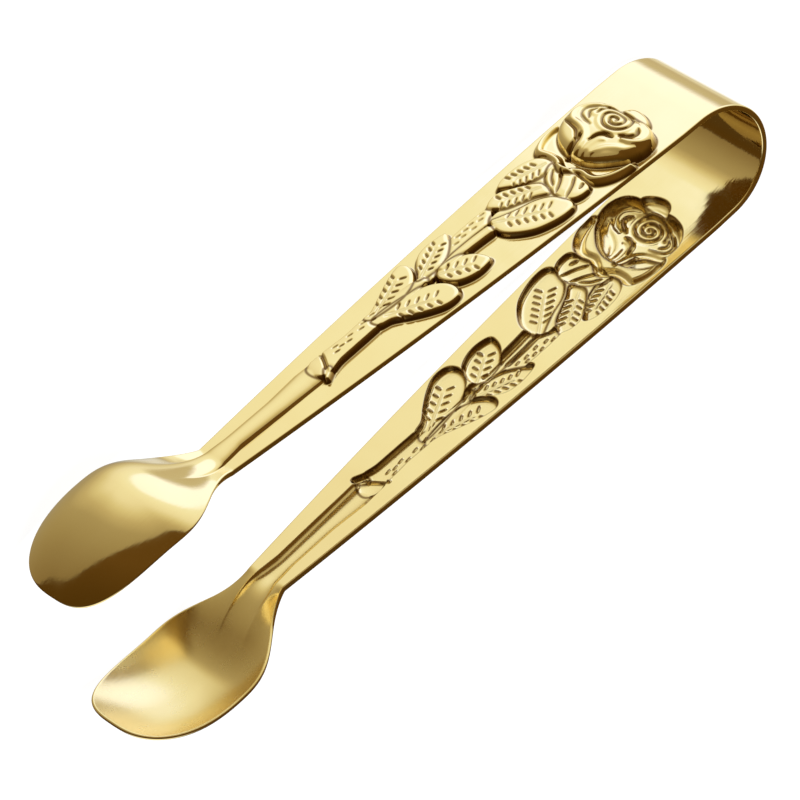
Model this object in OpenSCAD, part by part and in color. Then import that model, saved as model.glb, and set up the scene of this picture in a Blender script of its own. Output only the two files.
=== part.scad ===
// Ice tongs: one strip of polished metal bent into a spring bow, with a rose branch
// pressed through each arm and a spoon-shaped bowl at each end.
// The two arms are one design, half a turn apart about the strip's long axis.
// +X points from the bow to the bowls, and the arms open along Y, the left one towards +Y.
// The tongs lie on their side: the edges of the bowls rest on z = 0.

/* [Strip] */
// Length from the crown of the bow to the bowl tips
overall_l = 110; // [105:1:115]
// Thickness of the metal
strip_t = 0.8; // [0.7:0.05:1]
// Width of the strip round the bow
strip_w = 16.2; // [15:0.1:18]
// Outer radius of the bow
bow_r = 8.3; // [8:0.1:9]
// Angle that each arm opens from the middle plane
open_a = 2; // [1.7:0.1:2.6]

/* [Arms] */
// Width of the neck between arm and bowl
neck_w = 6.5; // [6:0.1:7.5]
// How far the arm's edge swells past a straight taper
edge_swell = 0.6; // [0:0.05:0.8]
// Height that the pressed leaves and branch stand out
leaf_h = 0.75; // [0.5:0.05:1]
// Height that the pressed rose stands out
rose_h = 2.2; // [1.6:0.1:2.6]

/* [Bowls] */
// Length of a bowl from its neck to its tip
bowl_l = 27; // [26:0.5:29]
// Width of a bowl
bowl_w = 18.4; // [17:0.1:19]
// How far the rim bows outward between neck and tip
rim_sag = 2.9; // [2:0.1:3.2]
// Distance from the outer face down to the axis that the bowl is turned about
turn_drop = 3.2; // [2.8:0.1:3.6]

/* [Hidden] */
$fn = 96;
gold = [0.87, 0.74, 0.42];
pale_gold = [0.93, 0.83, 0.55];
mid_r = bow_r - strip_t / 2;
// Stations along an arm, measured from where the bow's arc ends
tip_a = (overall_l - bow_r + bow_r * sin(open_a)) / cos(open_a);
neck_a = tip_a - bowl_l;
plain_a = 3.4;
rose_a = 29.2;
knuckle_a = 57;
// The bow bends evenly, so each arm turns about the centroid of its quarter arc
hinge_xz = 2 / PI * mid_r;
hinge_r = 1.6;
hinge_gap = 0.03;
hinge_a = 45;
// The rim is an arc across the bowl's length
rim_drop = 0.4;
rim_r = (pow(bowl_l / 2, 2) + pow(rim_sag, 2)) / (2 * rim_sag);
// Bluntness of the bowl's end, and how late its side turns in towards the neck
blunt = 2.8;
run_skew = 1.3;
// The widest place of the bowl, from the tip
wide_s = 0.5 * bowl_l;

// Half width of the arm at station a: a parabola from the plain band to the neck
function arm_t(a) = (a - plain_a) / (neck_a - plain_a);
function arm_half_w(a) = strip_w / 2 + (neck_w - strip_w) / 2 * arm_t(a)
    + 4 * edge_swell * arm_t(a) * (1 - arm_t(a));

// Half width of the bowl at distance s from its tip: a blunt round end, broad shoulders
// and a smooth run into the neck
function bowl_end(s) = pow(1 - pow(1 - s / wide_s, blunt), 1 / blunt);
function bowl_run(s) = (1 + cos(180 * pow((s - wide_s) / (bowl_l - wide_s), run_skew))) / 2;
function bowl_half_w(s) = s < wide_s
    ? bowl_w / 2 * bowl_end(s)
    : neck_w / 2 + (bowl_w - neck_w) / 2 * bowl_run(s);

// Height of the rim over the turning axis, and radius of the bowl's back about it
function rim_z(s) = turn_drop - rim_drop + rim_sag - rim_r
    + sqrt(pow(rim_r, 2) - pow(s - bowl_l / 2, 2));
function bowl_back_r(s) = sqrt(pow(bowl_half_w(s), 2) + pow(rim_z(s), 2));

// The tongs are drawn about the bow's centre, with the bow towards +X and an arm along +Z
// of it, and this lays them on their side over the origin
module at_rest() {
    translate([bow_r - overall_l / 2, 0, bowl_w / 2]) rotate([-90, 0, 180]) children();
}

module right_half() {
    at_rest() children();
}

module left_half() {
    at_rest() rotate([180, 0, 0]) children();
}

// One arm with X along it from the end of the bow's arc, and Z out of its outer face
module arm_frame() {
    translate([bow_r * sin(open_a), 0, bow_r * cos(open_a)])
        rotate([0, -open_a, 180]) children();
}

// Side profile of the bow's ring, seen across the strip
module ring_profile() {
    difference() {
        circle(bow_r);
        circle(bow_r - strip_t);
    }
}

// Wedge from the bow's centre between two angles
module wedge(from_a, to_a) {
    reach = 3 * bow_r;
    polygon([[0, 0],
             reach * [cos(from_a), sin(from_a)],
             reach * [cos(to_a), sin(to_a)]]);
}

module hinge_disc(r) {
    translate([hinge_xz, hinge_xz]) circle(r);
}

module across_strip() {
    rotate([90, 0, 0]) linear_extrude(strip_w, center = true) children();
}

// The crown of the bow, ending in a round nose about each arm's turning axis
module spring_bow() {
    color(pale_gold) at_rest() across_strip() intersection() {
        ring_profile();
        union() {
            wedge(-hinge_a, hinge_a);
            hinge_disc(hinge_r);
            mirror([0, 1]) hinge_disc(hinge_r);
        }
    }
}

// The rest of the quarter arc and the plain band that leads to the rose
module shoulder() {
    across_strip() {
        difference() {
            intersection() {
                ring_profile();
                wedge(hinge_a, 90 - open_a + 0.1);
            }
            hinge_disc(hinge_r + hinge_gap);
        }
        translate(bow_r * [sin(open_a), cos(open_a)]) rotate(-open_a)
            translate([-plain_a, -strip_t]) square([plain_a, strip_t]);
    }
}

// Flat strip between two stations, with the arm's curved edges
module plate(from_a, to_a) {
    steps = 10;
    stations = [for (i = [0:steps]) from_a + (to_a - from_a) * i / steps];
    near_edge = [for (a = stations) [a, arm_half_w(a)]];
    far_edge = [for (i = [steps:-1:0]) [stations[i], -arm_half_w(stations[i])]];
    translate([0, 0, -strip_t]) linear_extrude(strip_t) polygon(concat(near_edge, far_edge));
}

// Leaf outline: two arcs that meet at the tip and at the base, drawn in by inset
module leaf_outline(tip, base, width, inset) {
    span = norm(base - tip);
    arc_r = (pow(span / 2, 2) + pow(width / 2, 2)) / width;
    turn = atan2(base[1] - tip[1], base[0] - tip[0]);
    translate((tip + base) / 2) rotate(turn) intersection() {
        translate([0, arc_r - width / 2]) circle(arc_r - inset);
        translate([0, width / 2 - arc_r]) circle(arc_r - inset);
    }
}

// Each leaf as tip, base and width, by station and distance across the arm
leaves = [[[24.2, -4.6], [15.4, -2.3], 4.0],
          [[27.4, -2.9], [18.2, 0.9], 4.0],
          [[20.0, 5.6], [29.4, 0.6], 4.6],
          [[33.0, -4.2], [41.2, -0.5], 3.6],
          [[32.8, 3.8], [40.4, 0.2], 3.3],
          [[39.6, -4.9], [49.0, -0.6], 3.7],
          [[39.2, 5.2], [49.0, 0.0], 3.6]];

// Each length of twig as start, end and width
twigs = [[[28.0, -2.2], [34.5, -2.0], 2.3],
         [[34.5, -2.0], [42.0, -0.2], 1.8],
         [[29.9, 0.2], [36.0, 0.0], 1.9],
         [[41.0, -0.2], [48.5, -0.3], 2.6],
         [[47.0, -0.4], [57.6, -0.6], 3.2]];

module twig_outline(from, to, width, inset) {
    run = to - from;
    translate(from) rotate(atan2(run[1], run[0]))
        translate([0, inset - width / 2]) square([norm(run), width - 2 * inset]);
    translate(from) circle(width / 2 - inset);
    translate(to) circle(width / 2 - inset);
}

// The bulb of the rose is the cap of a ball that sits this deep in the arm
rose_at = [10.2, 0.3];
rose_plan_r = 5.6;
rose_ball_r = (pow(rose_plan_r, 2) + pow(rose_h, 2)) / (2 * rose_h);

// Outer petals: round lobes about the bulb, each as place and radius
petals = [[[7.4, -3.6], 3.2],
          [[5.6, 1.6], 1.5],
          [[8.0, 3.6], 2.6],
          [[13.6, -3.2], 2.9],
          [[14.4, 0.4], 2.7],
          [[12.6, 3.9], 2.7]];

// The rib of the stem is a slice of a cone that narrows towards the neck at one height
rib_half_w = 1.9;
rib_h = 0.95;
rib_r = (pow(rib_half_w, 2) + pow(rib_h, 2)) / (2 * rib_h);
rib_end_r = 0.75 * rib_r;
rib_rise = atan((rib_r - rib_end_r) / (neck_a - knuckle_a));

// Everything pressed out of the arm, with its walls drawn in by inset and its top down by drop
module relief(inset, drop) {
    foot = -strip_t - drop;
    top = leaf_h - drop;
    translate([0, 0, foot]) linear_extrude(top - foot) {
        for (leaf = leaves) leaf_outline(leaf[0], leaf[1], leaf[2], inset);
        for (twig = twigs) twig_outline(twig[0], twig[1], twig[2], inset);
        for (petal = petals) translate(petal[0]) circle(petal[1] - inset);
    }
    intersection() {
        translate([rose_at[0], rose_at[1], rose_h - rose_ball_r]) sphere(rose_ball_r - drop);
        translate([rose_at[0], rose_at[1], foot]) cylinder(r = rose_plan_r, h = rose_h - foot);
    }
    intersection() {
        translate([knuckle_a, 0, rib_h - rib_r]) rotate([0, 90 - rib_rise, 0])
            cylinder(r1 = rib_r - drop, r2 = rib_end_r - drop, h = neck_a - knuckle_a + 1);
        translate([knuckle_a, -strip_w / 2, foot]) cube([neck_a - knuckle_a, strip_w, rib_h - foot]);
    }
}

// One zone of the arm: the flat strip with the pressed relief, hollow on the inner face
module arm_zone(from_a, to_a) {
    difference() {
        union() {
            plate(from_a, to_a);
            intersection() {
                relief(0, 0);
                translate([from_a, -strip_w / 2, -strip_t])
                    cube([to_a - from_a, strip_w, strip_t + rose_h]);
            }
        }
        relief(strip_t / 2, strip_t);
    }
}

// Bowl: a shell turned about an axis under the arm, cut off along the curved rim
module bowl() {
    steps = 20;
    // Stations bunch up at the blunt tip
    inner_s = [for (i = [0:steps]) strip_t + (bowl_l - strip_t) * pow(i / steps, 1.6)];
    outer_s = [for (i = [0:steps]) bowl_l * pow(i / steps, 1.6)];
    outer = [for (s = outer_s) [bowl_back_r(s), s]];
    inner = [for (s = inner_s) [bowl_back_r(s - strip_t) - strip_t, s]];
    back = [for (i = [steps:-1:0]) inner[i]];
    difference() {
        translate([tip_a, 0, -turn_drop]) rotate([0, -90, 0])
            rotate_extrude() polygon(concat([[0, 0]], outer, back, [[0, strip_t]]));
        translate([tip_a - bowl_l / 2, 0, rim_sag - rim_drop - rim_r]) rotate([90, 0, 0])
            cylinder(r = rim_r, h = 2 * bowl_w, center = true);
    }
}

module right_shoulder() {
    color(pale_gold) right_half() shoulder();
}

module right_rose_panel() {
    color(gold) right_half() arm_frame() arm_zone(plain_a, rose_a);
}

module right_branch_panel() {
    color(pale_gold) right_half() arm_frame() arm_zone(rose_a, knuckle_a);
}

module right_stem() {
    color(gold) right_half() arm_frame() arm_zone(knuckle_a, neck_a);
}

module right_bowl() {
    color(pale_gold) right_half() arm_frame() bowl();
}

module left_shoulder() {
    color(pale_gold) left_half() shoulder();
}

module left_rose_panel() {
    color(gold) left_half() arm_frame() arm_zone(plain_a, rose_a);
}

module left_branch_panel() {
    color(pale_gold) left_half() arm_frame() arm_zone(rose_a, knuckle_a);
}

module left_stem() {
    color(gold) left_half() arm_frame() arm_zone(knuckle_a, neck_a);
}

module left_bowl() {
    color(pale_gold) left_half() arm_frame() bowl();
}

spring_bow();
right_shoulder();
right_rose_panel();
right_branch_panel();
right_stem();
right_bowl();
left_shoulder();
left_rose_panel();
left_branch_panel();
left_stem();
left_bowl();
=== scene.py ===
import math

import bpy
import numpy as np
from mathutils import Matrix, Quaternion, Vector


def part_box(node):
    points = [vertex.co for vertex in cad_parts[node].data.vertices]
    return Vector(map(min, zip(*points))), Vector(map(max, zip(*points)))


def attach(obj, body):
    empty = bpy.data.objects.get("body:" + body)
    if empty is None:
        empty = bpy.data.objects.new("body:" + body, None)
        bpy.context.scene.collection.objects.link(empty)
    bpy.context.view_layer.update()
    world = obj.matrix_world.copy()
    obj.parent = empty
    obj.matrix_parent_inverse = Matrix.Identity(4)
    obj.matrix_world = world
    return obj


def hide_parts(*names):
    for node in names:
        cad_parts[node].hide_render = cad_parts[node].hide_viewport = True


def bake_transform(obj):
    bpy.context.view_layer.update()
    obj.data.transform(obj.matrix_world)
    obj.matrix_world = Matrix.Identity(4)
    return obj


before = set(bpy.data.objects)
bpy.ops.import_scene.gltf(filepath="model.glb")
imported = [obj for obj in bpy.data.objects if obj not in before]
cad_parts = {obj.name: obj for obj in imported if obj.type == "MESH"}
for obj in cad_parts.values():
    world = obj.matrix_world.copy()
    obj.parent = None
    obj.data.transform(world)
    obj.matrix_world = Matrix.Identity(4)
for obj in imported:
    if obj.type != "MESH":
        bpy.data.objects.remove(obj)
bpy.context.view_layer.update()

# An arm is drawn in its own coordinates, in mm: a runs along it from the end of the bow's arc to
# the tip, w runs across it, and h is the height over its flat outer face. On the bow a is below 0.
# place() and other_arm() take these points to the frame, in metres.

# ---------------------------------------------------------------- dimensions
MM = 0.001
# The strip: each arm leans outwards by OPEN, and its sides bulge by EDGE_SWELL
LENGTH = 110.0
BOW_R = 8.3
OPEN = math.radians(2)
STRIP_T = 0.8
STRIP_W = 16.2
NECK_W = 6.5
EDGE_SWELL = 0.6
CORNER_R = 0.2
TIP_A = (LENGTH - BOW_R + BOW_R * math.sin(OPEN)) / math.cos(OPEN)
# Places along it: the middle of the bow, and where the shoulder, the rose panel, the branch panel
# and the stem begin
CROWN_A = -(math.pi / 2 - OPEN) * BOW_R
SPLIT_A = -(math.pi / 4 - OPEN) * BOW_R
PLAIN_A = 3.4
ROSE_A = 29.2
KNUCKLE_A = 57.0
# Heights of the pressed pattern. Its edges slope over WALL, and the inner face shows PRESSED of it
LEAF_H = 0.75
RIB_H = 0.95
ROSE_H = 2.35
WALL = 0.4
PRESSED = 0.9
# The bud stands on a foot, rises steeply by BUD_WALL and rounds over to ROSE_H
BUD_FOOT = 0.5
BUD_WALL = 1.35
# A fine line is pressed round the foot of each raised shape, and its edge is painted dark: tarnish
# and painted shade
OUTLINE_DEPTH = 0.05
OUTLINE_HALF = 0.25
OUTLINE_OUT = 0.2
RIM_OUT = 0.08
RIM_DARK = 0.95
# A groove this deep is painted fully dark: tarnish and painted shade in the groove
FULL_DARK = 0.3
# The bowls: plan and height of the back. BLUNT is the power of the tip's superellipse, the skews
# shape the run-out into the neck, and BOWL_FULLNESS of 0 would make the section a parabola.
BOWL_L = 27.0
BOWL_W = 18.6
BOWL_TOP = 7.1
BOWL_FULLNESS = 0.2
BLUNT = 2.8
SIDE_SKEW = 1.3
BACK_SKEW = 1.2
NECK_A = TIP_A - BOWL_L
WIDE_A = TIP_A - 0.5 * BOWL_L
# The rim arches out by RIM_SAG and ends RIM_DROP inwards of the arm's face. It leaves the flat of
# the neck over RIM_START of the bowl's length.
RIM_SAG = 2.9
RIM_DROP = 0.2
RIM_START = 0.25
# Past the neck the strip's thickness changes over BOWL_RUN to BOWL_RIM_T at the rim, and to
# BOWL_BODY more in the middle
BOWL_RUN = 6
BOWL_RIM_T = 0.5
BOWL_BODY = 1.3
# Share of the satin finish on the back of a bowl and in the hollows of the inner face's pattern,
# which is full where the pattern is HOLLOW_H deep. The inside of a bowl has all of it.
SATIN_BACK = 0.05
SATIN_HOLLOW = 0.6
HOLLOW_H = 0.4

# Centre of the bow's arc and middle of the strip's width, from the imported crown
crown_low, crown_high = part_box("spring_bow")
CENTRE_X = crown_low.x / MM + BOW_R
MID_Z = (crown_low.z + crown_high.z) / 2 / MM


def smooth(t):
    t = np.clip(t, 0.0, 1.0)
    return t * t * (3 - 2 * t)


def unit(v):
    return v / np.maximum(np.linalg.norm(v, axis=-1, keepdims=True), 1e-12)


# ---------------------------------------------------------------- the strip's path and outline
def along_path(a):
    """Place of the outer face and its outward direction, as x and y in mm."""
    arc = math.pi / 2 - OPEN + a / BOW_R
    turn = np.where(a < 0, arc, math.pi / 2 - OPEN)
    run = np.maximum(a, 0)
    x = CENTRE_X - BOW_R * np.cos(turn) + run * math.cos(OPEN)
    y = -BOW_R * np.sin(turn) - run * math.sin(OPEN)
    return np.stack([x, y], -1), np.stack([-np.cos(turn), -np.sin(turn)], -1)


def place(local):
    """Right-arm points (a, w, h) in the frame, in metres."""
    at, out = along_path(local[..., 0])
    plane = at + local[..., 2:3] * out
    world = np.concatenate([plane, MID_Z + local[..., 1:2]], -1)
    return world * MM


# The left arm is the right one turned half a turn about the tongs' long middle axis
HALF_TURN = np.array([1, -1, -1])


def other_arm(points):
    turned = points * HALF_TURN
    turned[..., 2] += 2 * MID_Z * MM
    return turned


def arm_half_w(a):
    """Half the strip's width, which tapers from the plain band to the neck."""
    t = np.clip((a - PLAIN_A) / (NECK_A - PLAIN_A), 0, 1)
    return STRIP_W / 2 + (NECK_W - STRIP_W) / 2 * t + 4 * EDGE_SWELL * t * (1 - t)


def bowl_half_w(a):
    """Half the bowl's width from the neck to its widest place."""
    t = np.clip((WIDE_A - a) / (WIDE_A - NECK_A), 0, 1)
    run = (1 + np.cos(math.pi * t ** SIDE_SKEW)) / 2
    return NECK_W / 2 + (BOWL_W - NECK_W) / 2 * run


def rim_h(a):
    """Height of the bowl's rim."""
    u = np.clip((TIP_A - a) / BOWL_L, 0, 1)
    arch = RIM_SAG * (1 - (2 * u - 1) ** 2) - RIM_DROP
    return arch + RIM_DROP * smooth((u - 1 + RIM_START) / RIM_START)


def spine_h(a):
    """Height of the bowl's back along the middle line."""
    t = np.clip((WIDE_A - a) / (WIDE_A - NECK_A), 0, 1)
    return BOWL_TOP * (1 + np.cos(math.pi * t ** BACK_SKEW)) / 2


# ---------------------------------------------------------------- pressed relief
def spline(points, closed=False, steps=8):
    """Catmull-Rom curve through given points."""
    p = np.array(points, float)
    if closed:
        p = np.vstack([p[-1], p, p[0], p[1]])
    else:
        p = np.vstack([2 * p[0] - p[1], p, 2 * p[-1] - p[-2]])
    t = (np.arange(steps) / steps)[:, None]
    curve = []
    for p0, p1, p2, p3 in zip(p, p[1:], p[2:], p[3:]):
        bend = 2 * p0 - 5 * p1 + 4 * p2 - p3
        twist = 3 * p1 - p0 - 3 * p2 + p3
        curve.append(0.5 * (2 * p1 + (p2 - p0) * t + bend * t ** 2 + twist * t ** 3))
    return np.vstack(curve + [p[-2:-1]])


# Room beyond a raised shape's wall for the line round its foot
MARGIN = 0.3
# At 4 a stroke has its full width only in its middle, and above that over a longer run
FULL_RUN = 6.4


class Sheet:
    """Height of the relief over the flat strip, on a grid of a and w, and the dark painted into its
    grooves and round its shapes, partly tarnish and partly painted shade, from 0 to 1."""

    def __init__(self, a, w):
        self.a, self.w = a, w
        self.h = np.zeros_like(a)
        self.dark = np.zeros_like(a)

    def distance(self, line, reach):
        """The points near a curve, their distance to it and how far along it they are."""
        low, high = line.min(0) - reach, line.max(0) + reach
        pick = (self.a > low[0]) & (self.a < high[0]) & (self.w > low[1]) & (self.w < high[1])
        pa, pw = self.a[pick], self.w[pick]
        best, where = np.full(pa.shape, 1e9), np.zeros(pa.shape)
        count = len(line) - 1
        for i in range(count):
            d = line[i + 1] - line[i]
            t = ((pa - line[i, 0]) * d[0] + (pw - line[i, 1]) * d[1]) / (d @ d + 1e-12)
            t = np.clip(t, 0, 1)
            gap = np.hypot(pa - line[i, 0] - t * d[0], pw - line[i, 1] - t * d[1])
            closer = gap < best
            best[closer] = gap[closer]
            where[closer] = (i + t[closer]) / count
        return pick, best, where

    def stroke(self, points, half, height, ends=0.5):
        """Adds a rounded ridge, or a groove with a negative height, along a curve. Its width
        falls to the share given by ends."""
        pick, gap, where = self.distance(spline(points), half)
        width = half * (ends + (1 - ends) * smooth(FULL_RUN * where * (1 - where)))
        profile = (1 - np.clip(gap / width, 0, 1) ** 2) ** 2
        self.h[pick] += height * profile
        # A groove is painted dark, partly as tarnish and partly as painted shade in the crease
        if height < 0:
            self.dark[pick] = np.maximum(self.dark[pick], profile * min(1, -height / FULL_DARK))

    def inside(self, points, reach):
        """The points near a closed outline and how deep inside it they are, below 0 outside."""
        line = spline(points, closed=True)
        line = np.vstack([line, line[:1]])
        pick, gap, _ = self.distance(line, reach)
        pa, pw = self.a[pick], self.w[pick]
        within = np.zeros(pa.shape, bool)
        for (a0, w0), (a1, w1) in zip(line, line[1:]):
            if w0 != w1:
                crossing = (a1 - a0) * (pw - w0) / (w1 - w0) + a0
                within ^= ((w0 > pw) != (w1 > pw)) & (pa < crossing)
        return pick, np.where(within, gap, -gap)

    def cover(self, pick, depth, level):
        """Lays a shape over what is there, with a fine line pressed round its foot and painted dark
        there: tarnish and painted shade.
        """
        line = np.clip(1 - ((depth + OUTLINE_OUT) / OUTLINE_HALF) ** 2, 0, 1)
        self.h[pick] -= OUTLINE_DEPTH * line
        over = level > self.h[pick]
        self.dark[pick] = np.where(over, 0, self.dark[pick])
        self.h[pick] = np.where(over, level, self.h[pick])
        # The ring at the foot is painted dark, partly as tarnish and partly as painted shade of the
        # wall
        rim = np.clip(1 - ((depth + RIM_OUT) / OUTLINE_HALF) ** 2, 0, 1)
        self.dark[pick] = np.maximum(self.dark[pick], RIM_DARK * rim)

    def lift(self, points, height, wall, crown=0.0, span=2.0):
        """Raises the inside of an outline to a level, with a wall and a crowned top."""
        pick, depth = self.inside(points, wall + MARGIN)
        top = crown * (1 - (1 - np.clip(depth / span, 0, 1)) ** 2) * (depth > 0)
        self.cover(pick, depth, height * smooth(depth / wall + 0.5) + top)

    def bar(self, points, halves, height, wall, crown=0.0):
        """Raises a length of twig whose half width changes along it."""
        pick, gap, where = self.distance(spline(points), max(halves) + wall + MARGIN)
        half = np.interp(where, np.linspace(0, 1, len(halves)), halves)
        top = crown * np.clip(1 - (gap / half) ** 2, 0, 1)
        self.cover(pick, half - gap, height * smooth((half - gap) / wall + 0.5) + top)


# Half width and height of the pressed lines on a leaf, and how far a vein leans to the base
MIDRIB = (0.16, -0.07)
VEIN = (0.2, -0.3)
VEIN_LEAN = 0.45


def leaf(sheet, outline, tip, base, veins=5, near=0.35, far=1.05):
    """A flat leaf with a fine midrib between two lines, and a row of pressed veins each side,
    which run from near to far off the midrib."""
    sheet.lift(outline, LEAF_H, WALL, crown=0.14, span=0.7)
    tip, base = np.array(tip, float), np.array(base, float)
    run = base - tip
    side = np.array([-run[1], run[0]]) / np.hypot(*run)
    lean = run / np.hypot(*run) * VEIN_LEAN
    for s in (-1, 1):
        # The two lines of the midrib start below the tip and spread towards the base
        sheet.stroke([tip + 0.22 * run + 0.1 * s * side, base + 0.16 * s * side], *MIDRIB)
        for k in range(veins):
            at = tip + run * (0.16 + 0.62 * k / (veins - 1))
            sheet.stroke([at + near * s * side, at + far * s * side - lean], *VEIN, ends=0.7)


def leaves_by_rose(sheet):
    """The low ground between the three leaves next to the flower, and the leaves."""
    sheet.lift([(17.5, -1.5), (20.5, -2.0), (23.5, -1.6), (27.0, -1.6), (28.4, -0.2), (26.5, 1.2),
                (22.5, 2.4), (20.0, 4.2), (18.0, 3.5)], 0.6, WALL)
    leaf(sheet, [(23.5, -4.6), (22.3, -5.3), (20.5, -5.5), (18.6, -5.3), (17.0, -4.5), (16.2, -3.4),
                 (16.2, -1.8), (17.4, -1.3), (18.8, -1.3), (20.3, -1.8), (21.8, -2.7), (22.9, -3.7)],
         (22.4, -4.1), (16.9, -2.4), near=0.5, far=1.25)
    leaf(sheet, [(26.6, -2.8), (26.1, -3.6), (24.9, -4.0), (23.5, -3.8), (22.2, -2.9), (20.8, -1.8),
                 (19.7, -0.6), (19.6, 0.9), (20.4, 1.8), (21.8, 0.8), (23.6, -0.1), (25.4, -1.1)],
         (25.6, -2.8), (20.2, 0.2), near=0.4, far=1.15)
    leaf(sheet, [(20.2, 6.3), (19.6, 5.2), (19.9, 3.6), (20.8, 2.2), (22.4, 1.1), (24.6, 0.4),
                 (26.6, -0.5), (27.9, -1.0), (28.5, 0.2), (28.6, 1.7), (27.8, 3.3), (26.0, 5.1),
                 (23.8, 6.1), (21.8, 6.5)],
         (21.5, 5.0), (28.0, -0.3), veins=6, near=0.45, far=1.35)


def leaves_by_stem(sheet):
    """The four leaves in pairs on the twig."""
    leaf(sheet, [(32.4, -4.3), (33.8, -4.7), (35.5, -4.8), (37.2, -4.4), (38.5, -3.3), (39.4, -2.0),
                 (40.4, -0.7), (38.6, -0.4), (36.8, -0.4), (35.2, -1.0), (33.8, -2.1), (32.8, -3.3)],
         (33.6, -3.9), (39.8, -0.9), near=0.45, far=0.95)
    leaf(sheet, [(32.3, 4.1), (32.2, 3.0), (32.8, 1.6), (34.0, 0.5), (35.8, 0.0), (37.6, -0.1),
                 (38.5, 0.8), (38.3, 2.3), (37.4, 3.6), (35.8, 4.4), (34.0, 4.6)],
         (33.5, 3.5), (38.2, 0.5), veins=4, near=0.4, far=1.15)
    leaf(sheet, [(39.7, -5.1), (41.2, -4.9), (43.2, -4.1), (45.2, -3.1), (47.0, -2.2), (48.6, -1.7),
                 (48.2, -0.6), (45.0, -0.1), (42.4, -0.3), (40.6, -1.2), (39.4, -2.6), (39.0, -4.1)],
         (40.4, -3.9), (47.4, -0.9), near=0.4, far=1.1)
    leaf(sheet, [(38.9, 5.4), (38.1, 4.3), (38.2, 2.8), (39.1, 1.4), (40.6, 0.4), (42.6, 0.0),
                 (46.0, -0.5), (48.4, -0.4), (48.2, 0.8), (46.6, 1.4), (44.9, 2.9), (42.8, 4.5),
                 (40.8, 5.5)],
         (40.0, 4.2), (46.8, 0.2), near=0.45, far=1.2)


def sepals(sheet):
    """The green cup under the flower: a low pad with folds that fan out from the stalk."""
    sheet.lift([(16.4, -1.7), (18.0, -1.3), (19.2, -0.1), (19.8, 1.4), (20.1, 2.9), (19.9, 4.3),
                (19.2, 5.3), (17.9, 5.7), (16.6, 5.3), (16.1, 3.0), (16.1, 0.0)], 0.7, WALL,
               crown=0.15, span=1.2)
    folds = [([(17.2, -0.9), (18.3, 0.0), (19.1, 1.2)], 0.3, -0.3),
             ([(16.8, 0.3), (18.2, 1.5), (19.7, 2.4)], 0.32, -0.4),
             ([(16.5, 2.4), (17.9, 3.4), (19.6, 4.2)], 0.32, -0.4),
             ([(16.7, 4.2), (17.6, 4.6)], 0.35, -0.35)]
    for points, half, height in folds:
        sheet.stroke(points, half, height)


def bud(sheet):
    """The closed petals: a steep-sided cushion, nearly level on top."""
    outline = [(5.4, -0.5), (5.3, -2.2), (5.9, -4.2), (7.2, -5.6), (9.0, -6.2), (11.0, -5.9),
               (12.8, -4.8), (14.0, -3.0), (14.5, -0.8), (14.5, 1.4), (13.8, 3.3), (12.6, 4.9),
               (11.2, 6.2), (9.2, 7.0), (7.4, 6.9), (6.0, 6.0), (5.4, 4.4), (5.5, 2.6), (5.5, 1.0)]
    pick, depth = sheet.inside(outline, MARGIN)

    def rise(reach):
        return np.sqrt(1 - (1 - np.clip(depth / reach, 0, 1)) ** 2)

    level = BUD_FOOT + BUD_WALL * rise(1.6) + (ROSE_H - BUD_FOOT - BUD_WALL) * rise(5.5)
    sheet.cover(pick, depth, np.where(depth > 0, level, 0))


def heart(sheet):
    """The spiral crease in the middle of the bud, with a low ridge along it."""
    turns, start = 2.7, 0.4
    t = np.linspace(0.06, 1, 80)
    turn = 2 * math.pi * turns * t + start
    spiral = np.stack([7.5 + 2.1 * t * np.cos(turn), 0.8 + 3.0 * t * np.sin(turn)], 1)
    pick, gap, _ = sheet.distance(spiral, 0.8)
    crease = (1 - np.clip(gap / 0.27, 0, 1) ** 2) ** 2
    ridge = np.clip(1 - ((gap - 0.5) / 0.4) ** 2, 0, 1)
    sheet.h[pick] += 0.12 * ridge - 0.28 * crease
    # The crease is painted dark, partly as tarnish and partly as painted shade
    sheet.dark[pick] = np.maximum(sheet.dark[pick], crease)


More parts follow.
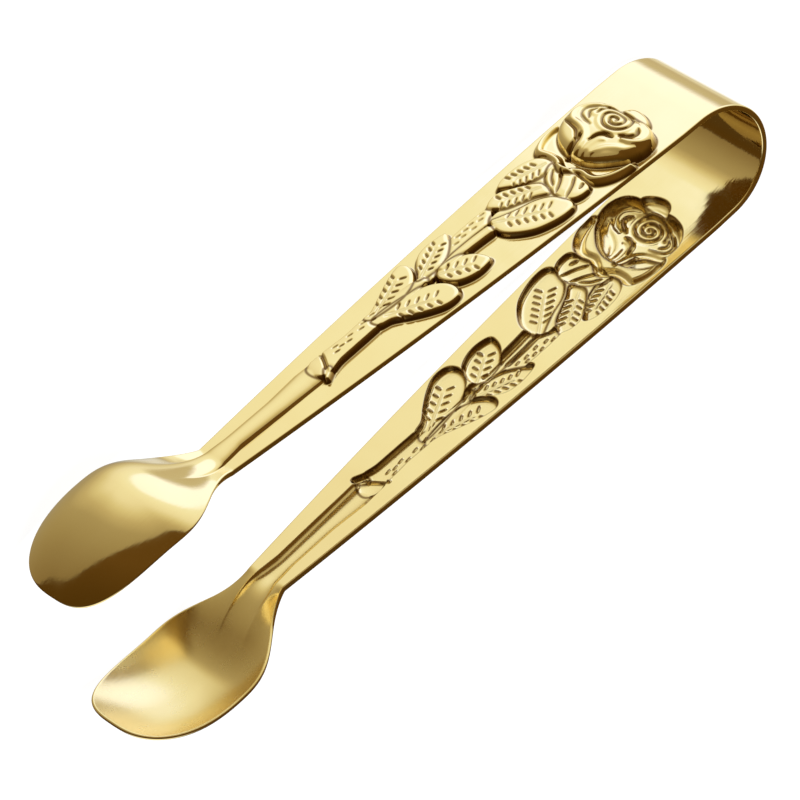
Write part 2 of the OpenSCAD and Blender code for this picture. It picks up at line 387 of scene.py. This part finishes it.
def rose(sheet):
    """The flower: an open collar of outer petals, the bud and its spiral heart."""
    sheet.lift([(10.8, -6.2), (11.8, -6.8), (13.4, -6.7), (15.0, -6.3), (16.3, -5.4), (16.5, -4.2),
                (16.1, -3.1), (16.3, -1.6), (17.1, -0.1), (16.9, 0.8), (16.2, 1.9), (15.9, 2.8),
                (16.1, 4.0), (15.9, 5.3), (14.9, 6.4), (13.4, 7.2), (11.6, 7.5), (10.5, 7.2),
                (10.0, 5.0), (10.0, -4.0)], 0.42, WALL)
    # The lip of the collar
    sheet.stroke([(11.6, -6.2), (13.2, -6.2), (14.7, -5.8), (15.8, -4.9), (15.6, -3.3),
                  (15.7, -1.8), (16.5, 0.1), (15.8, 1.5), (15.4, 2.6), (15.5, 3.9), (15.2, 5.0),
                  (14.0, 6.1), (12.4, 6.8), (11.2, 7.1)], 0.72, 0.6, ends=0.7)
    # A small petal on the bow's side
    sheet.lift([(4.2, -0.3), (3.8, 0.9), (4.1, 2.5), (5.0, 3.8), (6.2, 3.4), (6.2, 0.0),
                (5.2, -0.9)], 0.75, WALL, crown=0.45, span=0.9)
    bud(sheet)
    # Rolled petal edges, each with the crease beside it
    sheet.stroke([(5.6, -0.4), (5.7, -1.8), (6.5, -3.6), (7.8, -5.0), (9.2, -5.2), (10.2, -4.2),
                  (10.5, -2.6), (11.0, -1.2), (12.0, -0.2), (13.4, 0.3), (14.3, 0.2)], 0.6, 0.24,
                 ends=0.7)
    sheet.stroke([(6.2, -1.6), (6.9, -3.0), (8.0, -4.1), (9.0, -3.9), (9.5, -2.8), (9.8, -1.4)],
                 0.27, -0.25)
    sheet.stroke([(7.3, -2.7), (8.2, -3.2), (9.0, -2.4)], 0.3, -0.28)
    sheet.stroke([(10.7, -5.3), (11.0, -3.8), (11.4, -2.4), (12.4, -1.4)], 0.36, -0.4)
    sheet.stroke([(11.8, -1.2), (13.2, -0.9), (14.6, -0.8)], 0.6, -0.6, ends=0.8)
    sheet.stroke([(9.9, 2.8), (10.0, 1.6), (10.6, 0.8), (11.8, 0.5)], 0.42, -0.5)
    sheet.stroke([(10.8, 2.4), (11.2, 1.6), (12.4, 1.3), (13.8, 1.3)], 0.6, 0.16)
    sheet.stroke([(13.2, 2.3), (11.8, 3.2), (11.0, 4.3), (10.4, 5.6), (9.4, 6.3)], 0.6, 0.16)
    sheet.stroke([(5.7, 3.6), (5.9, 5.0), (6.8, 6.2), (8.1, 6.4), (9.1, 5.6), (9.6, 4.3)], 0.6, 0.3,
                 ends=0.7)
    sheet.stroke([(6.9, 4.4), (7.8, 5.0), (8.7, 4.5), (9.3, 3.3)], 0.5, -0.4, ends=0.3)
    heart(sheet)


def branch(sheet):
    """Two lengths of twig, and a cut stub beside the upper one."""
    sheet.lift([(25.8, -3.1), (27.6, -3.4), (30.0, -3.4), (32.8, -3.2), (34.8, -2.4), (37.0, -1.2),
                (41.0, -0.8), (41.0, 0.4), (37.0, 0.2), (34.0, -0.6), (31.0, -0.8), (28.6, -0.8),
                (27.2, -1.4)], LEAF_H - 0.1, WALL, crown=0.1, span=0.8)
    sheet.bar([(29.0, 0.15), (31.0, 0.0), (34.0, -0.05), (37.0, 0.1)], [0.8, 0.8, 0.75, 0.7],
              LEAF_H, WALL, crown=0.3)
    sheet.bar([(40.0, -0.4), (44.0, -0.5), (48.0, -0.55), (52.0, -0.35), (55.0, -0.35),
               (57.2, -0.1)], [0.8, 1.2, 1.4, 1.35, 1.5, 1.8], LEAF_H + 0.1, WALL, crown=0.2)


def bark(sheet):
    """Short dashes along both lengths of twig, and the cut end over the knuckle."""
    dashes = [(27.7, -2.8), (28.4, -2.2), (29.6, -2.7), (29.9, -1.8), (30.7, -2.5), (31.6, -1.9),
              (32.0, -2.5), (33.0, -1.7), (47.6, -1.3), (48.1, -0.4), (50.0, -0.5), (51.6, -0.9),
              (52.3, -0.2), (53.4, -0.4), (54.0, -1.0), (54.4, -0.1), (49.2, -1.1), (46.0, -1.2)]
    for a, w in dashes:
        sheet.stroke([(a - 0.32, w + 0.06), (a + 0.32, w - 0.06)], 0.17, -0.22, ends=0.8)
    sheet.stroke([(55.8, -2.3), (56.0, -1.2), (56.7, 0.2), (57.5, 1.4), (58.1, 2.2)], 0.32, -0.4,
                 ends=0.9)
    sheet.bar([(57.1, 1.2), (58.0, 1.9)], [0.5, 0.35], LEAF_H, WALL, crown=0.1)


def stem_rib(sheet):
    """The rounded rib from the knuckle to the bowl, where it fades out."""
    knots = [KNUCKLE_A, 60, 65, 72, NECK_A + 8]
    middle = np.interp(sheet.a, knots, [-0.3, -0.4, -0.15, -0.13, 0])
    half = np.interp(sheet.a, knots, [1.95, 1.95, 1.65, 1.5, 2.6])
    x = (sheet.w - middle) / half
    # A power over 0.5, an ellipse's, makes the sides less steep
    dome = np.clip(1 - x * x, 0, 1) ** 0.62
    rise = smooth((sheet.a - KNUCKLE_A + 1) / 1.2)
    fall = smooth((sheet.a - NECK_A + 1) / 9)
    sheet.h = np.maximum(sheet.h, RIB_H * dome * (rise * (1 - fall)))


def relief(a, w):
    """Height of the pressed pattern, and the dark painted in it: partly tarnish, partly painted
    shade.
    """
    sheet = Sheet(a, w)
    branch(sheet)
    stem_rib(sheet)
    leaves_by_rose(sheet)
    leaves_by_stem(sheet)
    sepals(sheet)
    rose(sheet)
    bark(sheet)
    # The sheet is pressed cold, so no crease is quite sharp
    soft = sheet.h.copy()
    soft[1:-1] = (soft[:-2] + soft[2:] + 2 * soft[1:-1]) / 4
    soft[:, 1:-1] = (soft[:, :-2] + soft[:, 2:] + 2 * soft[:, 1:-1]) / 4
    return soft, sheet.dark


# ---------------------------------------------------------------- grids
def even(points, count):
    """Points at equal steps along a curve."""
    steps = np.linalg.norm(np.diff(points, axis=0), axis=1)
    length = np.concatenate([[0], np.cumsum(steps)])
    at = np.linspace(0, length[-1], count)
    return np.stack([np.interp(at, length, points[:, i]) for i in range(points.shape[1])], 1)


def stations(start, end, step):
    return np.linspace(start, end, max(2, int(round(abs(end - start) / step)) + 1))


# Steps between rows on the pattern and elsewhere, rows round the tip, the points they are spaced
# out from, and columns across a face
FINE = 0.115
PLAIN = 0.3
TIP_ROWS = 73
TIP_POINTS = 1500
COLUMNS = 149
# Corners in each quarter turn of the strip's rounded edges
ROUND_STEPS = 4
# Where each zone of the strip starts
ZONES = {"crown": CROWN_A, "shoulder": SPLIT_A, "rose_panel": PLAIN_A, "branch_panel": ROSE_A,
         "stem": KNUCKLE_A, "bowl": NECK_A}


def arm_rows():
    """Spine and edge of every row from the crown to the tip, and the row where each zone starts.
    The first row lies past the middle of the bow, so that the normals there come out level. The
    rows past the wide part of the bowl fan out about the end of its spine."""
    spans = [(CROWN_A, SPLIT_A, PLAIN), (SPLIT_A, 0, PLAIN), (0, PLAIN_A, PLAIN),
             (PLAIN_A, ROSE_A, FINE), (ROSE_A, KNUCKLE_A, FINE), (KNUCKLE_A, KNUCKLE_A + 3, FINE),
             (KNUCKLE_A + 3, NECK_A, PLAIN), (NECK_A, WIDE_A, PLAIN)]
    a = np.concatenate([[CROWN_A - PLAIN]] + [stations(*span)[:-1] for span in spans] + [[WIDE_A]])
    starts = [int(np.abs(a - start).argmin()) for start in ZONES.values()]
    half = np.where(a < NECK_A, arm_half_w(a), bowl_half_w(a))
    turn = np.linspace(0, math.pi / 2, TIP_POINTS)
    end = np.stack([WIDE_A + (TIP_A - WIDE_A) * np.sin(turn) ** (2 / BLUNT),
                    BOWL_W / 2 * np.cos(turn) ** (2 / BLUNT)], 1)
    end[-1, 1] = 0
    end = even(end, TIP_ROWS + 1)[1:]
    spine = np.concatenate([a, np.full(len(end), WIDE_A)])
    edge = np.concatenate([np.stack([a, half], 1), end])
    return spine, edge, starts


def rim_frame(edge):
    """Direction along the rim at each row's edge, by way of the mirrored far side."""
    mirrored = edge[::-1][1:] * [1, -1]
    both = np.concatenate([edge, mirrored])
    return unit(np.gradient(both, axis=0))[:len(edge)]


def base_surface(spine, edge, q):
    """Outer face without its relief, as local points for each row and each q from -1 to 1."""
    span = np.abs(q)[None, :]
    a = spine[:, None] + (edge[:, :1] - spine[:, None]) * span
    w = edge[:, 1:] * q[None, :]
    in_bowl = spine[:, None] > NECK_A
    rim = np.where(in_bowl, rim_h(edge[:, :1]), 0)
    crest = np.where(in_bowl, spine_h(spine[:, None]), 0)
    section = (1 - span ** 2) * (1 + BOWL_FULLNESS * span ** 2)
    return np.stack([a, w, rim + (crest - rim) * section], -1)


def surface_normals(points):
    """Outward normals of a grid in local coordinates."""
    down = np.gradient(points, axis=0)
    across = np.gradient(points, axis=1)
    return unit(np.cross(down, across))


def level_normals(normal, spine):
    """Sets the normals where rows or columns meet: on the middle line and at the tip."""
    middle = COLUMNS // 2
    normal[:, middle, 1] = 0
    normal[:, middle] = unit(normal[:, middle])
    # Fan rows all share the end of the spine, where the back of the bowl is level
    normal[spine >= WIDE_A, middle] = [0, 0, 1]
    normal[-1] = (normal[-1] + normal[-1, ::-1]) / 2
    normal[-1, :, 1] = 0
    normal[-1] = unit(normal[-1])


def edge_rings(corner, up, along, outward, thick):
    """The strip's edge beside each row, rounded at the outer face and at the inner one."""
    out = unit(np.cross(up, along))
    out *= np.where((out[:, :2] * outward).sum(1) < 0, -1, 1)[:, None]
    rings = []
    for depth, first in ((CORNER_R + 0 * thick, 90), (thick - CORNER_R, 0)):
        for k in range(ROUND_STEPS):
            angle = math.radians(first - 90 / (ROUND_STEPS - 1) * k)
            ring = corner + up * (CORNER_R * math.sin(angle) - depth)
            rings.append(ring + out * CORNER_R * math.cos(angle))
    return np.stack(rings[1:-1], 1)


def arm_grid():
    """Local points of the arm as rows of closed loops: outer face, edge, inner face, edge. With them
    come the dark painted on them, partly tarnish and partly painted shade, their satin, and the row
    where each zone starts."""
    spine, edge, starts = arm_rows()
    tangent = rim_frame(edge)
    outward = np.stack([-tangent[:, 1], tangent[:, 0]], 1)
    inset = edge - CORNER_R * outward
    inset[-1, 1] = 0
    q = np.linspace(-1, 1, COLUMNS)
    base = base_surface(spine, inset, q)
    normal = surface_normals(base)
    level_normals(normal, spine)
    height, pattern_tarnish_and_shade = relief(base[..., 0], base[..., 1])
    outer = base + height[..., None] * normal
    in_bowl = smooth((edge[:, :1] - NECK_A) / BOWL_RUN)
    thick = STRIP_T + (BOWL_RIM_T - STRIP_T) * in_bowl
    body = thick + BOWL_BODY * in_bowl * (1 - q ** 2)
    inner = base + (PRESSED * height - body)[..., None] * normal
    sides = []
    for s, column in ((1, -1), (-1, 0)):
        along = np.stack([tangent[:, 0], s * tangent[:, 1], 0 * tangent[:, 0]], 1)
        sides.append(edge_rings(base[:, column], normal[:, column], along, outward * [1, s], thick))
    loop = np.concatenate([outer, sides[0], inner[:, ::-1], sides[1][:, ::-1]], 1)
    bare = np.zeros((len(spine), sides[0].shape[1]))
    # Painted dark, partly tarnish and partly painted shade, on both faces of the pattern
    strip_tarnish_and_shade = np.concatenate([pattern_tarnish_and_shade, bare, pattern_tarnish_and_shade[:, ::-1], bare], 1)
    in_hollow = np.maximum(in_bowl, SATIN_HOLLOW * smooth(height / HOLLOW_H))[:, ::-1]
    on_back = SATIN_BACK * in_bowl * np.ones((1, COLUMNS))
    satin = np.concatenate([on_back, bare, in_hollow, bare], 1)
    return loop, np.stack([strip_tarnish_and_shade, satin], -1), starts


def weld(points, faces):
    """The first vertex at each place, and the faces with their corners moved to those."""
    same_place = 0.002 * MM
    keys = np.round(points / same_place).astype(np.int64)
    _, first, index = np.unique(keys, axis=0, return_index=True, return_inverse=True)
    faces = index.reshape(-1)[faces]
    return first, faces


def shading_normals(points, faces):
    """Area-weighted vertex normals."""
    total = np.zeros_like(points)
    corner = points[faces]
    area = np.cross(corner[:, 2] - corner[:, 0], corner[:, 3] - corner[:, 1])
    for k in range(4):
        np.add.at(total, faces[:, k], area)
    return unit(total)


def make_mesh(name, points, faces, normals, tarnish_shade_and_satin):
    """An object with the points that its faces use, without the corners that fell together."""
    used, faces = np.unique(faces, return_inverse=True)
    faces = faces.reshape(-1, 4)
    rows = []
    for face in faces.tolist():
        corners = [v for i, v in enumerate(face) if v != face[i - 1]]
        if len(corners) > 2 and len(set(corners)) == len(corners):
            rows.append(corners)
    mesh = bpy.data.meshes.new(name)
    mesh.from_pydata(points[used].tolist(), [], rows)
    mesh.shade_smooth()
    mesh.normals_split_custom_set_from_vertices(normals[used].tolist())
    # Each point carries its painted dark, partly tarnish and partly painted shade, and its satin
    for k, kind in enumerate(("tarnish_shade", "satin")):
        point_layer = mesh.attributes.new(kind, "FLOAT", "POINT")
        point_layer.data.foreach_set("value", tarnish_shade_and_satin[used, k].astype(np.float32))
    piece = bpy.data.objects.new(name, mesh)
    bpy.context.collection.objects.link(piece)
    return piece


def loop_faces(bands, columns):
    """Quads in the bands between closed rows, as indices into the flattened grid."""
    row = np.arange(bands)[:, None]
    column = np.arange(columns)[None, :]
    after = (column + 1) % columns
    corners = [row * columns + column, (row + 1) * columns + column,
               (row + 1) * columns + after, row * columns + after]
    return np.stack(corners, -1).reshape(-1, 4)


def cap_faces(row, columns, flip):
    """Quads that close the strip at a row, from its outer face to its inner face, starting at
    the middle of the rounded edge that ends the loop."""
    start = columns - (columns - 2 * COLUMNS) // 4
    k = np.arange(columns // 2)
    near, far = start + k, start - 1 - k
    quads = np.stack([near, near + 1, far - 1, far], 1)[:-1] % columns + row * columns
    return quads[:, ::-1] if flip else quads


# ---------------------------------------------------------------- material
# Two close golds in soft patches, and the dark brown painted in the pattern's grooves: partly
# tarnish, partly painted shade
GOLDS = [(0.3, (0.89, 0.725, 0.345, 1)), (0.7, (0.91, 0.755, 0.375, 1))]
TARNISH_AND_SHADE = (0.2, 0.105, 0.028, 1)
# Roughness of the clearest metal and of its smudges, and what the satin finish adds
GLOSS = (0.05, 0.12)
SATIN = 0.18
# Scale of the hairline rubbing along the strip and across it, per metre
HAIRS = (180, 2600, 2600)


def node(tree, kind, **values):
    made = tree.nodes.new(kind)
    for key, value in values.items():
        if key in made.inputs:
            made.inputs[key].default_value = value
        else:
            setattr(made, key, value)
    return made


def link(tree, source, socket, target, entry):
    tree.links.new(source.outputs[socket], target.inputs[entry])


def gold_colour(tree, place_at):
    """The golds in patches, under the painted dark brown, partly tarnish and partly painted shade,
    where the mesh's attribute says.
    """
    patches = node(tree, "ShaderNodeTexNoise", Scale=130.0, Detail=3.0)
    link(tree, place_at, "Object", patches, "Vector")
    golds = node(tree, "ShaderNodeValToRGB")
    for element, (position, colour) in zip(golds.color_ramp.elements, GOLDS):
        element.position = position
        element.color = colour
    link(tree, patches, "Fac", golds, "Fac")
    tarnish_shade = node(tree, "ShaderNodeAttribute", attribute_name="tarnish_shade")
    tarnish_and_shade_mix = node(tree, "ShaderNodeMix", data_type="RGBA")
    link(tree, tarnish_shade, "Fac", tarnish_and_shade_mix, "Factor")
    tree.links.new(golds.outputs["Color"], tarnish_and_shade_mix.inputs[6])
    tarnish_and_shade_mix.inputs[7].default_value = TARNISH_AND_SHADE
    return tarnish_and_shade_mix.outputs[2]


def gold_roughness(tree, place_at):
    """Smudges a few mm across, and the satin finish in the bowls and behind the pattern."""
    smudge = node(tree, "ShaderNodeTexNoise", Scale=260.0, Detail=4.0, Roughness=0.65)
    link(tree, place_at, "Object", smudge, "Vector")
    gloss = node(tree, "ShaderNodeMapRange")
    gloss.inputs["From Min"].default_value = 0.3
    gloss.inputs["From Max"].default_value = 0.75
    gloss.inputs["To Min"].default_value, gloss.inputs["To Max"].default_value = GLOSS
    link(tree, smudge, "Fac", gloss, "Value")
    satin = node(tree, "ShaderNodeAttribute", attribute_name="satin")
    softer = node(tree, "ShaderNodeMath", operation="MULTIPLY_ADD")
    link(tree, satin, "Fac", softer, 0)
    softer.inputs[1].default_value = SATIN
    link(tree, gloss, "Result", softer, 2)
    return softer.outputs["Value"]


def gold_bump(tree, place_at):
    """Hairline rubbing along the strip, on a faint roll of the pressed sheet."""
    stretch = node(tree, "ShaderNodeMapping")
    stretch.inputs["Scale"].default_value = HAIRS
    link(tree, place_at, "Object", stretch, "Vector")
    hairs = node(tree, "ShaderNodeTexNoise", Scale=1.0, Detail=2.0)
    link(tree, stretch, "Vector", hairs, "Vector")
    hair_bump = node(tree, "ShaderNodeBump", Strength=0.05, Distance=0.0001)
    link(tree, hairs, "Fac", hair_bump, "Height")
    roll = node(tree, "ShaderNodeTexNoise", Scale=220.0, Detail=1.0)
    link(tree, place_at, "Object", roll, "Vector")
    roll_bump = node(tree, "ShaderNodeBump", Strength=0.08, Distance=0.0004)
    link(tree, roll, "Fac", roll_bump, "Height")
    link(tree, hair_bump, "Normal", roll_bump, "Normal")
    return roll_bump.outputs["Normal"]


def gold_material():
    """Polished gold plate, used and wiped: no two parts of it are quite as bright."""
    material = bpy.data.materials.new("polished_gold")
    material.use_nodes = True
    tree = material.node_tree
    shader = tree.nodes["Principled BSDF"]
    shader.inputs["Metallic"].default_value = 1.0
    place_at = node(tree, "ShaderNodeTexCoord")
    tree.links.new(gold_colour(tree, place_at), shader.inputs["Base Color"])
    tree.links.new(gold_roughness(tree, place_at), shader.inputs["Roughness"])
    tree.links.new(gold_bump(tree, place_at), shader.inputs["Normal"])
    return material


# ---------------------------------------------------------------- the tongs
class ArmSkin:
    """The right arm's welded points with their normals, painted tarnish and shade, and satin, and
    its quads by row.
    """

    def __init__(self):
        local, tarnish_shade_and_satin, self.starts = arm_grid()
        row_count, self.columns = local.shape[:2]
        points = place(local).reshape(-1, 3)
        first, faces = weld(points, loop_faces(row_count - 1, self.columns))
        self.points, self.tarnish_shade_and_satin = points[first], tarnish_shade_and_satin.reshape(-1, 2)[first]
        self.normals = shading_normals(self.points, faces)
        self.quads = faces.reshape(row_count - 1, self.columns, 4)
        # The welded vertex at each point of the grid, for the caps
        self.corners = np.concatenate([self.quads[:, :, 0], self.quads[-1:, :, 1]]).reshape(-1)
        self.ends = list(self.starts[1:]) + [row_count - 1]

    def zone_faces(self, zone, start_cap, end_cap):
        """The quads of one zone, with a cap at each end where it is cut off."""
        begin, stop = self.starts[zone], self.ends[zone]
        faces = [self.quads[begin:stop].reshape(-1, 4)]
        if start_cap:
            faces.append(self.corners[cap_faces(begin, self.columns, False)])
        if end_cap:
            faces.append(self.corners[cap_faces(stop, self.columns, True)])
        return np.concatenate(faces)


def pose_point(a, side):
    """Place on an arm's middle line."""
    point = place(np.array([a, 0.0, 0.0]))
    return tuple(point if side == "right" else other_arm(point))


def add_arm(skin, side, points, normals):
    """The zones past the crown. The shoulder stays where it is built, and the others ride the arm.
    """
    pieces = []
    for zone, name in list(enumerate(ZONES))[1:]:
        faces = skin.zone_faces(zone, start_cap=True, end_cap=name != "bowl")
        piece = make_mesh(f"{side}_{name}_skin", points, faces, normals, skin.tarnish_shade_and_satin)
        if name == "shoulder":
            pose_point(SPLIT_A, side)
            pose_point(0.0, side)
            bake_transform(piece)
        else:
            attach(piece, f"{side}_arm")
        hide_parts(f"{side}_{name}")
        pieces.append(piece)
    return pieces


def add_bow(skin, left_points, left_normals):
    """The crown of the bow: the two arms' crown zones, joined where they meet."""
    crown = skin.zone_faces(0, start_cap=False, end_cap=True)
    points = np.concatenate([skin.points, left_points])
    normals = np.concatenate([skin.normals, left_normals])
    tarnish_shade_and_satin = np.concatenate([skin.tarnish_shade_and_satin, skin.tarnish_shade_and_satin])
    first, faces = weld(points, np.concatenate([crown, crown + len(skin.points)]))
    bow = make_mesh("bow_skin", points[first], faces, normals[first], tarnish_shade_and_satin[first])
    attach(bow, "bow")
    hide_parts("spring_bow")
    return bow


def build_tongs():
    skin = ArmSkin()
    left_points, left_normals = other_arm(skin.points), skin.normals * HALF_TURN
    pieces = add_arm(skin, "right", skin.points, skin.normals)
    pieces += add_arm(skin, "left", left_points, left_normals)
    pieces.append(add_bow(skin, left_points, left_normals))
    gold = gold_material()
    for piece in pieces:
        piece.data.materials.append(gold)


# ---------------------------------------------------------------- studio
# The camera looks at a point near the middle of the tongs, turned so that they lie along the
# diagonal of the picture
AIM = Vector((-2.75, 12.1, -0.35)) * MM
DISTANCE = 979 * MM
AZIMUTH = math.radians(25.9)
ELEVATION = math.radians(41.07)
ROLL = math.radians(121.1)
LENS = 355.07
# The floor is white and lit from inside, with some paint that takes a faint shadow
FLOOR_HALF = 3.2
FLOOR_GLOW = 0.95
FLOOR_PAINT = 0.25
BACKDROP_R = 3.0
DOME_R = 350 * MM
WORLD_GREY = 0.1
# The metal reflects a soft dome of light. Its bright side is centred on SOFTBOX and ends at a
# straight edge, and a second softbox lights the side that the camera doesn't see.
SOFTBOX = (-0.817, -0.502, -0.283)
SOFTBOX_EDGE = (-0.542, -0.551, -0.634)
EDGE_AT = 0.114
BACK_SOFTBOX = (0.75, 0.6, 0.25)
DOME_STRENGTH = 2.4
# The light where the dome is at its full strength, which leaves what it multiplies as it is
FULL = (DOME_STRENGTH,) * 3
# Cosine of the angle from the softbox, and the light there
SOFTBOX_FALL = [(-0.5, (0.21, 0.14, 0.06)), (0.1, (0.38, 0.31, 0.18)), (0.35, (0.44, 0.37, 0.23)),
                (0.5, (0.6, 0.52, 0.34)), (0.6, (0.77, 0.72, 0.52)), (0.7, (0.93, 0.92, 0.83)),
                (0.8, (1.0, 1.02, 0.96)), (0.86, (1.02, 1.07, 1.06)), (0.9, (1.2, 1.32, 1.8)),
                (1.0, (1.3, 1.4, 1.9))]
BACK_FALL = [(-0.1, (0.13, 0.066, 0.014)), (0.4, (0.085, 0.042, 0.007)),
             (0.62, (0.08, 0.048, 0.016)), (0.74, (0.25, 0.2, 0.12)), (0.83, (0.9, 0.9, 0.85)),
             (0.95, (1.3, 1.3, 1.3))]
# A dark card beside the camera's side of the bow, and a bright strip of wall beyond it
DARK_CARD = (-0.83, 0.03, -0.56)
CARD_FALL = [(0.965, FULL), (0.992, (1.5, 1.32, 1.05))]
FAR_WALL = (-0.57, 0.57, -0.59)
FAR_WALL_FALL = [(0.9, (0, 0, 0)), (0.95, (0.6, 0.58, 0.5)), (0.985, (1.05, 1.05, 1.05))]


def add_camera():
    back = Vector((math.sin(AZIMUTH) * math.cos(ELEVATION),
                   -math.cos(AZIMUTH) * math.cos(ELEVATION), math.sin(ELEVATION)))
    camera = bpy.data.objects.new("camera", bpy.data.cameras.new("camera"))
    camera.data.lens = LENS
    camera.data.sensor_width = 36
    camera.data.clip_start = 0.05
    camera.location = AIM + back * DISTANCE
    camera.rotation_mode = "QUATERNION"
    camera.rotation_quaternion = back.to_track_quat("Z", "Y") @ Quaternion((0, 0, 1), ROLL)
    bpy.context.collection.objects.link(camera)
    bpy.context.scene.camera = camera


def glow_material(name, colour, strength, diffuse):
    material = bpy.data.materials.new(name)
    material.use_nodes = True
    shader = material.node_tree.nodes["Principled BSDF"]
    shader.inputs["Base Color"].default_value = (diffuse, diffuse, diffuse, 1)
    shader.inputs["Roughness"].default_value = 0.9
    shader.inputs["Specular IOR Level"].default_value = 0.0
    shader.inputs["Emission Color"].default_value = colour
    shader.inputs["Emission Strength"].default_value = strength
    return material


def add_floor():
    half = FLOOR_HALF
    mesh = bpy.data.meshes.new("floor")
    corners = [(-half, -half, 0), (half, -half, 0), (half, half, 0), (-half, half, 0)]
    mesh.from_pydata(corners, [], [(0, 1, 2, 3)])
    floor = bpy.data.objects.new("floor", mesh)
    floor.data.materials.append(glow_material("light_table", (1, 1, 1, 1), FLOOR_GLOW, FLOOR_PAINT))
    floor.visible_glossy = False
    bpy.context.collection.objects.link(floor)


def add_dome(name, radius, material):
    """A sphere round the set, which only the camera or only the metal sees."""
    bpy.ops.mesh.primitive_uv_sphere_add(radius=radius, segments=64, ring_count=32)
    dome = bpy.context.object
    dome.name = name
    dome.data.shade_smooth()
    dome.data.materials.append(material)
    dome.visible_diffuse = False
    dome.visible_shadow = False
    return dome


def falloff(tree, direction, toward, stops):
    """Colour by the cosine of the angle between a direction and the centre of a light or card."""
    dot = node(tree, "ShaderNodeVectorMath", operation="DOT_PRODUCT")
    tree.links.new(direction, dot.inputs[0])
    dot.inputs[1].default_value = toward
    span = node(tree, "ShaderNodeMapRange")
    span.inputs["From Min"].default_value = -1
    tree.links.new(dot.outputs["Value"], span.inputs["Value"])
    ramp = node(tree, "ShaderNodeValToRGB")
    while len(ramp.color_ramp.elements) < len(stops):
        ramp.color_ramp.elements.new(1.0)
    for element, (cosine, colour) in zip(ramp.color_ramp.elements, stops):
        element.position = (cosine + 1) / 2
        element.color = (*(c / DOME_STRENGTH for c in colour), 1)
    tree.links.new(span.outputs["Result"], ramp.inputs["Fac"])
    return ramp.outputs["Color"]


def mix(tree, how, first, second):
    mixed = node(tree, "ShaderNodeMix", data_type="RGBA", blend_type=how)
    mixed.inputs[0].default_value = 1.0
    tree.links.new(first, mixed.inputs[6])
    tree.links.new(second, mixed.inputs[7])
    return mixed.outputs[2]


def dome_material():
    material = bpy.data.materials.new("light_dome")
    material.use_nodes = True
    material.cycles.emission_sampling = "NONE"
    tree = material.node_tree
    tree.nodes.clear()
    place_at = node(tree, "ShaderNodeTexCoord")
    direction = node(tree, "ShaderNodeVectorMath", operation="NORMALIZE")
    tree.links.new(place_at.outputs["Object"], direction.inputs[0])
    direction = direction.outputs["Vector"]
    front = falloff(tree, direction, SOFTBOX, SOFTBOX_FALL)
    edge = falloff(tree, direction, SOFTBOX_EDGE, [(EDGE_AT - 0.02, (0, 0, 0)), (EDGE_AT, FULL)])
    back = falloff(tree, direction, BACK_SOFTBOX, BACK_FALL)
    card = falloff(tree, direction, DARK_CARD, CARD_FALL)
    wall = falloff(tree, direction, FAR_WALL, FAR_WALL_FALL)
    lit = mix(tree, "MULTIPLY", mix(tree, "MULTIPLY", front, edge), card)
    lit = mix(tree, "LIGHTEN", mix(tree, "LIGHTEN", lit, wall), back)
    glow = node(tree, "ShaderNodeEmission", Strength=DOME_STRENGTH)
    tree.links.new(lit, glow.inputs["Color"])
    output = node(tree, "ShaderNodeOutputMaterial")
    tree.links.new(glow.outputs[0], output.inputs["Surface"])
    return material


def add_light(name, azimuth, elevation, distance, size, power):
    """A square softbox that faces the tongs, which the metal doesn't reflect."""
    a, e = math.radians(azimuth), math.radians(elevation)
    toward = Vector((math.sin(a) * math.cos(e), -math.cos(a) * math.cos(e), math.sin(e)))
    light = bpy.data.objects.new(name, bpy.data.lights.new(name, "AREA"))
    light.data.size = size
    light.data.energy = power
    light.location = toward * distance
    light.rotation_mode = "QUATERNION"
    light.rotation_quaternion = toward.to_track_quat("Z", "Y")
    light.visible_glossy = False
    bpy.context.collection.objects.link(light)


def add_studio():
    add_floor()
    white = glow_material("backdrop", (1, 1, 1, 1), 1.0, 0.0)
    backdrop = add_dome("backdrop", BACKDROP_R, white)
    backdrop.visible_glossy = False
    add_dome("light_dome", DOME_R, dome_material()).visible_camera = False
    add_light("overhead", azimuth=0, elevation=88, distance=1.0, size=0.5, power=6.0)
    world = bpy.data.worlds.new("studio")
    world.use_nodes = True
    background = world.node_tree.nodes["Background"]
    background.inputs["Color"].default_value = (WORLD_GREY, WORLD_GREY, WORLD_GREY, 1)
    bpy.context.scene.world = world
    bpy.context.scene.view_settings.view_transform = "Standard"


build_tongs()
add_camera()
add_studio()
